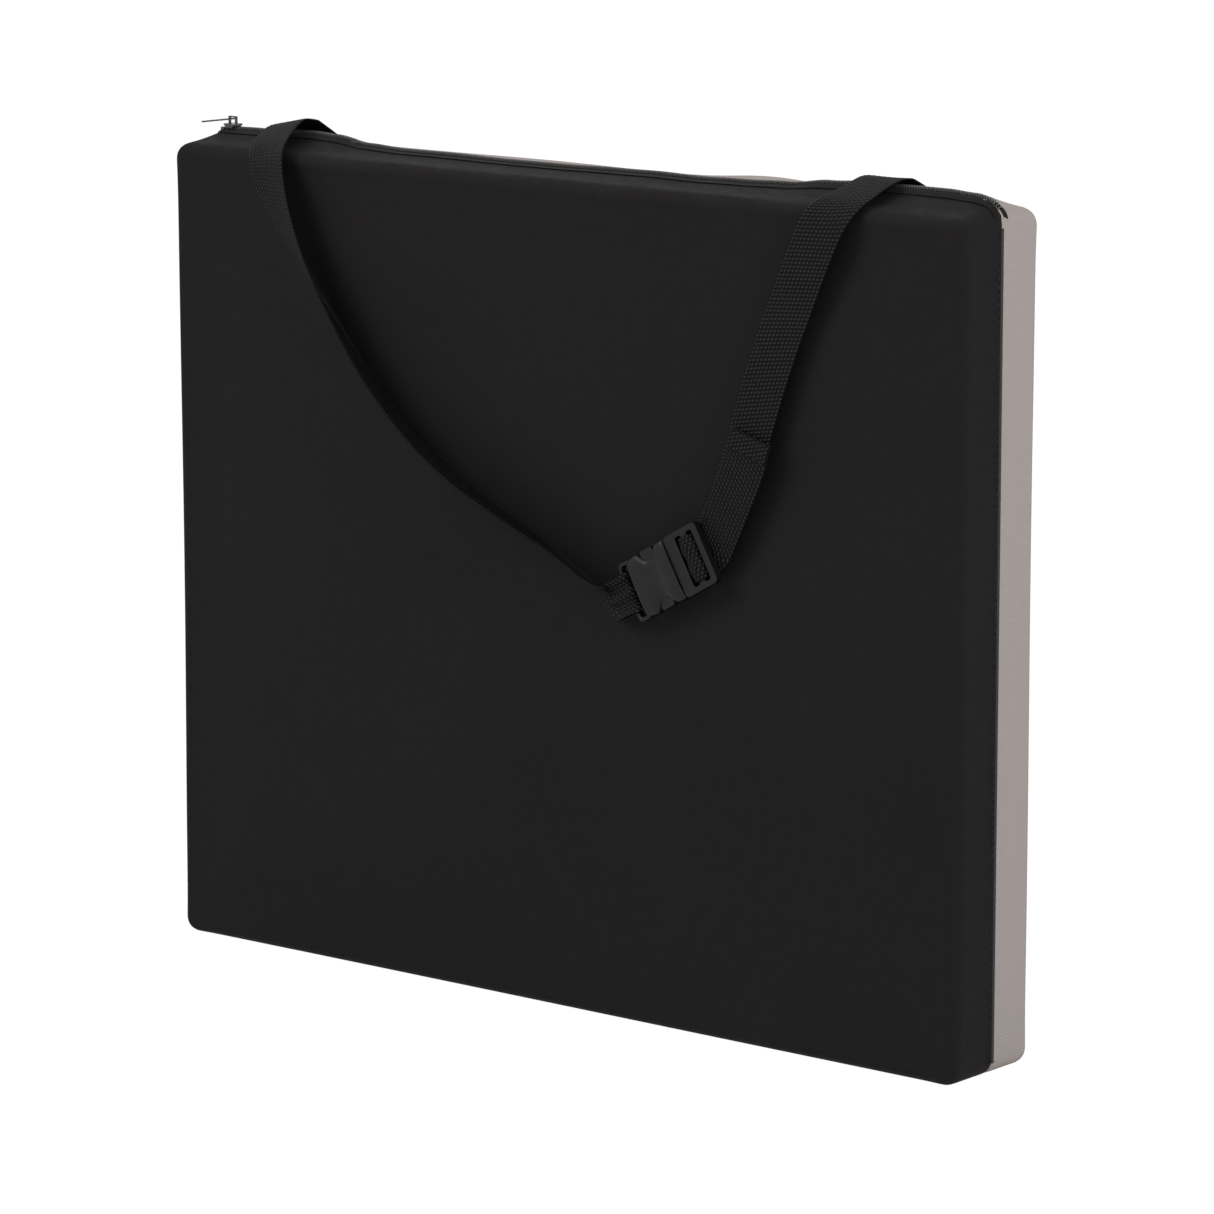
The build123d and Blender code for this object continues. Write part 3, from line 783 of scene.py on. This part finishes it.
def ribbed(tree):
    """The ribs' height from nought to one, by their own map: columns a unit wide and stitches a
    unit long, half a stitch on in every other column, each a half sine across times a raised
    sine along that leans with the place across."""
    split = tree.nodes.new("ShaderNodeSeparateXYZ")
    tree.links.new(surface_place(tree, "UV"), split.inputs[0])
    across, along = split.outputs[0], split.outputs[1]
    column = worked_out(tree, "FLOOR", across)
    within = worked_out(tree, "FRACT", across)
    shifted = worked_out(tree, "MULTIPLY_ADD", column, 0.5, along)
    leaning = worked_out(tree, "MULTIPLY_ADD", within, 0.45, shifted)
    chain = worked_out(tree, "SINE", worked_out(tree, "MULTIPLY", leaning, 2 * math.pi))
    chain = worked_out(tree, "MULTIPLY_ADD", chain, 0.5, 0.5)
    ridge = worked_out(tree, "SINE", worked_out(tree, "MULTIPLY", within, math.pi))
    return worked_out(tree, "MULTIPLY", chain, ridge)


webbing_material, tree, shader = plain_material(
    "ribbed_webbing", (0.004, 0.0038, 0.0038), 0.6, 0.08
)
rib = ribbed(tree)
# The webbing's colour follows the ribs: painted shade, nearly black, in the gaps between the ribs,
# and a painted highlight on their crests.
painted_gap_shade, painted_crest_highlight = (0.0009, 0.0008, 0.0008), (0.030, 0.028, 0.027)
tree.links.new(
    spread_between(tree, worked_out(tree, "POWER", rib, 1.6), painted_gap_shade, painted_crest_highlight),
    shader.inputs["Base Color"],
)
under = raise_by(tree, shader, rib, 0.0005)
raise_by(tree, shader, cloudy(tree, surface_place(tree), 2600.0, 3.0), 0.00012, under=under)


def share_where(route, axis, value):
    """The share of a rounded route's length at which a coordinate first falls below a value."""
    line = rounded_route(route)
    run = run_along(line[:, :3])
    return run[np.argmax(line[:, axis] < value)] / run[-1]


# The buckle's axis, for the webbing and for the buckle itself.
TILT = math.radians(29.5)
BUCKLE_MIDDLE = np.array([0.105, -0.052, 0.281])
BUCKLE_ALONG = np.array([math.cos(TILT), 0, math.sin(TILT)])
BUCKLE_ACROSS = np.array([-math.sin(TILT), 0, math.cos(TILT)])


def on_buckle(along, across, out):
    """A place by its distances along the buckle's axis, across it, and out from the mat."""
    return tuple(BUCKLE_MIDDLE + along * BUCKLE_ALONG + across * BUCKLE_ACROSS - [0, out, 0])


SPLIT_Y = -0.040
LEG_SPLIT_Z = 0.395
SEWN_LIFT = 0.0018
SEWN_ROWS = (0.0325, 0.0280, 0.0230, 0.0180)
BOX_MARGIN_X, BOX_MARGIN_Y = 0.003, 0.0025
BOX_PITCH, BOX_STITCH_LENGTH, BOX_STITCH_RADIUS = 0.0026, 0.0024, 0.00030


def sewn_height(x, y):
    """The height of the webbing's middle where it lies on the drawn-up top."""
    return PANEL_TOP + float(cloth_rise(x, y)) + SEWN_LIFT


left_strap = [
    *((-STRAP_X, y, sewn_height(STRAP_X, y), 1, 0, 0, 1) for y in SEWN_ROWS),
    (-STRAP_X - 0.002, 0.0120, 0.5090, 1, 0, 0.03, 1),
    (-STRAP_X - 0.006, 0.0060, 0.5130, 0.98, 0.05, 0.14, 1),
    (-STRAP_X - 0.008, -0.0030, 0.5148, 0.97, 0.02, 0.20, 1),
    (-STRAP_X - 0.006, -0.0130, 0.5132, 0.96, 0.05, 0.22, 1),
    (-STRAP_X - 0.001, -0.0270, 0.5085, 0.96, 0.10, 0.24, 1),
    (-STRAP_X + 0.006, -0.0390, 0.5030, 0.95, 0.04, 0.30, 1),
    (-STRAP_X + 0.0125, -0.0480, 0.4945, 0.92, -0.08, 0.38, 1),
    (-0.2070, -0.0515, 0.4820, 0.88, -0.22, 0.42, 1),
    (-0.1995, -0.0530, 0.4680, 0.80, -0.38, 0.45, 1),
    (-0.1895, -0.0540, 0.4515, 0.70, -0.54, 0.44, 1),
    (-0.1760, -0.0545, 0.4320, 0.58, -0.69, 0.40, 1),
    (-0.1560, -0.0545, 0.4060, 0.44, -0.82, 0.34, 1),
    (-0.1220, -0.0545, 0.3640, 0.32, -0.90, 0.28, 1),
    (-0.070, -0.0545, 0.321, 0.20, -0.94, 0.27, 1),
    (-0.010, -0.0545, 0.294, 0.14, -0.94, 0.30, 1),
    (0.026, -0.0545, 0.278, -0.05, -0.85, 0.50, 0.94),
    (*on_buckle(-0.052, 0.001, 0.0015), -0.35, -0.50, 0.78, 0.84),
    (*on_buckle(-0.042, 0, 0.0034), -0.49, 0.0, 0.87, 0.76),
    (*on_buckle(-0.0345, 0, 0.0036), -0.49, 0, 0.87, 0.80),
    (*on_buckle(-0.0312, 0, 0.0020), -0.49, 0, 0.87, 0.84),
    (*on_buckle(-0.0312, 0, -0.0020), -0.49, 0, 0.87, 0.84),
    (*on_buckle(-0.0345, 0, -0.0034), -0.49, 0, 0.87, 0.82),
    (*on_buckle(-0.054, 0.0, -0.0030), -0.49, 0, 0.87, 0.84),
]
right_strap = [
    *((STRAP_X, y, sewn_height(STRAP_X, y), 1, 0, 0, 1) for y in SEWN_ROWS),
    (STRAP_X - 0.003, 0.0120, 0.5095, 1, 0, 0, 1),
    (STRAP_X - 0.006, 0.0060, 0.5135, 1, 0, 0, 1),
    (STRAP_X - 0.008, -0.0020, 0.5148, 1, 0, 0, 1),
    (STRAP_X - 0.009, -0.0120, 0.5122, 1, 0, 0.03, 1),
    (STRAP_X - 0.0095, -0.0260, 0.5075, 1, 0.02, 0, 1),
    (STRAP_X - 0.0115, -0.0390, 0.5028, 1, 0, -0.10, 1),
    (STRAP_X - 0.015, -0.0475, 0.4945, 0.97, 0, -0.24, 1),
    (0.2055, -0.0488, 0.4830, 0.92, 0, -0.38, 1),
    (0.1990, -0.0485, 0.4690, 0.90, 0, -0.42, 1),
    (0.1915, -0.0480, 0.4520, 0.90, 0, -0.42, 1),
    (0.1785, -0.0480, 0.4220, 0.91, 0, -0.40, 1),
    (0.1648, -0.0485, 0.3840, 0.94, 0, -0.34, 1),
    (0.1530, -0.0480, 0.3470, 0.93, 0, -0.36, 1),
    (0.1390, -0.0470, 0.3160, 0.80, 0, -0.58, 1),
    (*on_buckle(0.0270, 0.0010, -0.0054), 0.52, 0, -0.85, 0.97),
    (*on_buckle(0.0185, 0, -0.0050), 0.49, 0, -0.87, 0.94),
    (*on_buckle(0.0157, 0, -0.0025), 0.49, 0, -0.87, 0.93),
    (*on_buckle(0.0157, 0, 0.0016), 0.49, 0, -0.87, 0.93),
]
# Each strap is one length of webbing, in a piece for each joint that it crosses.
for name, route in (("left", left_strap), ("right", right_strap)):
    split = share_where(route, 1, SPLIT_Y)
    piece = webbing(f"strap_{name}_over_top", route, webbing_material, 0.0, split)
    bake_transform(piece)
    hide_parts(f"strap_{name}_upper", f"strap_end_{name}")

split = share_where(left_strap, 1, SPLIT_Y)
piece = webbing("strap_left_leg", left_strap, webbing_material, split, 1.0)
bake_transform(piece)
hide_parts("strap_left_lower")

split = share_where(right_strap, 1, SPLIT_Y)
middle = share_where(right_strap, 2, LEG_SPLIT_Z)
piece = webbing("strap_right_leg_top", right_strap, webbing_material, split, middle)
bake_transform(piece)
piece = webbing("strap_right_leg_end", right_strap, webbing_material, middle, 1.0)
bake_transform(piece)
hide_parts("strap_right_lower")

tail = [
    (*on_buckle(0.0157, 0, 0.0028), 0.49, 0, -0.87, 0.93),
    (*on_buckle(0.0175, 0, 0.0042), 0.49, 0, -0.87, 0.93),
    (*on_buckle(0.0215, 0, 0.0042), 0.49, 0, -0.87, 0.93),
    (*on_buckle(0.0244, 0, 0.0018), 0.49, 0, -0.87, 0.93),
    (*on_buckle(0.0250, 0, -0.0020), 0.49, 0, -0.87, 0.93),
    (*on_buckle(0.0290, 0.0005, -0.0037), 0.50, 0, -0.86, 0.96),
    (*on_buckle(0.0345, 0.0020, -0.0034), 0.58, 0, -0.80, 0.99),
    (0.1425, -0.0510, 0.3170, 0.80, 0, -0.58, 1),
    (0.1565, -0.0517, 0.3450, 0.94, 0, -0.33, 1),
    (0.1630, -0.0515, 0.3660, 0.95, 0, -0.31, 1),
]
piece = webbing("strap_tail_end", tail, webbing_material)
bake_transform(piece)
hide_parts("strap_tail")
hem = [
    (0.1627, -0.0528, 0.3655, 0.95, 0, -0.31, 0.98),
    (0.1611, -0.0529, 0.3600, 0.95, 0, -0.31, 0.98),
    (0.1595, -0.0530, 0.3550, 0.95, 0, -0.31, 0.98),
]
piece = webbing("strap_tail_hem", hem, webbing_material)
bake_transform(piece)

# The stitching of the sewn ends: a box with a cross in each.
for name, x in (("left", -STRAP_X), ("right", STRAP_X)):
    low = np.array([x - WEBBING_WIDTH / 2 + BOX_MARGIN_X, SEWN_LOW.y + BOX_MARGIN_Y])
    high = np.array([x + WEBBING_WIDTH / 2 - BOX_MARGIN_X, SEWN_HIGH.y - BOX_MARGIN_Y])
    corners = np.array([low, (high[0], low[1]), high, (low[0], high[1])])
    runs = [(corners[n], corners[(n + 1) % 4]) for n in range(4)]
    runs += [(corners[0], corners[2]), (corners[1], corners[3])]
    places, ways = [], []
    for first, last in runs:
        count = round(float(np.linalg.norm(last - first)) / BOX_PITCH)
        share = (np.arange(count) + 0.5) / count
        flat = first + share[:, None] * (last - first)
        height = PANEL_TOP + cloth_rise(*flat.T) + SEWN_LIFT + WEBBING_THICKNESS / 2 + 0.0001
        places.append(np.column_stack([flat, height]))
        way = np.append((last - first) / np.linalg.norm(last - first), 0.0)
        ways.append(np.broadcast_to(way, (count, 3)))
    places, ways = np.concatenate(places), np.concatenate(ways)
    out = np.broadcast_to(np.array([0.0, 0.0, 1.0]), places.shape)
    box = thread_row(
        f"box_stitches_{name}",
        *(places, ways, out, BOX_STITCH_LENGTH, BOX_STITCH_RADIUS, black_thread),
    )
    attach(box, "rear_panel")
    if name == "left":
        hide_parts("strap_end_stitching")

# The buckle.
# Moulded in black acetal with a satin face, a little worn where it is handled.
acetal, tree, shader = plain_material("satin_acetal", (0.0040, 0.0038, 0.0038), 0.38, 0.22)
tree.links.new(
    spread_between(tree, cloudy(tree, surface_place(tree), 260.0, 4.0), 0.30, 0.48),
    shader.inputs["Roughness"],
)
raise_by(tree, shader, cloudy(tree, surface_place(tree), 3200.0, 2.0), 0.00003)
for name in ("buckle_plug", "buckle_prong_upper", "buckle_prong_lower"):
    nodes_by_name[name].data.materials.clear()
    nodes_by_name[name].data.materials.append(acetal)

SOCKET_BACK, SOCKET_MOUTH = -0.0275, 0.0040
SOCKET_HALF_WIDTH = 0.0190
SOCKET_HALF_THICKNESS = 0.0047
WINDOW_MIDDLE, WINDOW_REACH, WINDOW_DEPTH = -0.0105, 0.0058, 0.0066


def squared_circle(count, power):
    """Places round a squared circle: its cosine and sine, each to a power under one."""
    turn = np.linspace(0, 2 * math.pi, count, endpoint=False)
    cosine, sine = np.cos(turn), np.sin(turn)
    return np.sign(cosine) * np.abs(cosine) ** power, np.sign(sine) * np.abs(sine) ** power


def buckle_mesh(name, along, across, out, body, joined=False):
    """A mesh from rings of places given along, across and out from the buckle's middle, with
    its two ends capped, or its last ring joined to the first."""
    points = (
        BUCKLE_MIDDLE
        + along[..., None] * BUCKLE_ALONG
        + across[..., None] * BUCKLE_ACROSS
        - out[..., None] * np.array([0.0, 1.0, 0.0])
    )
    rows, columns = points.shape[:2]
    if joined:
        faces = grid_faces(rows, columns, closed=True, joined=True)
    else:
        faces = capped(rows, columns)
    made = face_outwards(mesh_object(name, points.reshape(-1, 3), faces))
    made.data.materials.append(acetal)
    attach(made, body)
    return made


# The socket's body: squared rings along the axis. The half width dips in a deep
# bay at each window, where the prongs' heads show, and the faces are dished.
s = np.linspace(0, 1, 90)
s = 0.5 - 0.5 * np.cos(math.pi * s)
along = SOCKET_BACK + (SOCKET_MOUTH - SOCKET_BACK) * s
rounded_end = np.sqrt(np.clip(1 - (1 - np.clip(np.minimum(s, 1 - s) / 0.055, 0, 1)) ** 2, 0, 1))
bay = np.exp(-np.abs((along - WINDOW_MIDDLE) / WINDOW_REACH) ** 3.2)
shoulder = 0.0016 * np.clip((SOCKET_BACK + 0.010 - along) / 0.010, 0, 1) ** 2
half_width = (SOCKET_HALF_WIDTH - WINDOW_DEPTH * bay - shoulder) * (0.965 + 0.035 * rounded_end)
half_thickness = (SOCKET_HALF_THICKNESS - 0.0006 * bay) * (0.72 + 0.28 * rounded_end)
squared_across, squared_out = squared_circle(56, 0.45)
across = half_width[:, None] * squared_across
out = half_thickness[:, None] * squared_out
dish = 0.0006 * np.exp(-(((along[:, None] + 0.0095) / 0.0075) ** 2) - (across / 0.0085) ** 2)
out = out - np.sign(out) * dish * (np.abs(out) > 0.6 * half_thickness[:, None])
along = np.broadcast_to(along[:, None], out.shape)
socket = buckle_mesh("socket_body", along, across, out, "strap_loop")
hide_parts("buckle_socket")

# The socket's loop for the webbing: a rounded oblong carried round the slot.
corner_along, corner_across = squared_circle(96, 0.35)
ring_width, ring_depth = squared_circle(16, 0.7)
width, depth = 0.0015 * ring_width, 0.0022 * ring_depth
loop_along = -0.0305 + (0.0042 + width) * corner_along[:, None]
loop_across = (0.0172 + width) * corner_across[:, None]
loop_out = np.broadcast_to(depth, loop_along.shape)
buckle_mesh("socket_loop", loop_along, loop_across, loop_out, "strap_loop", joined=True)
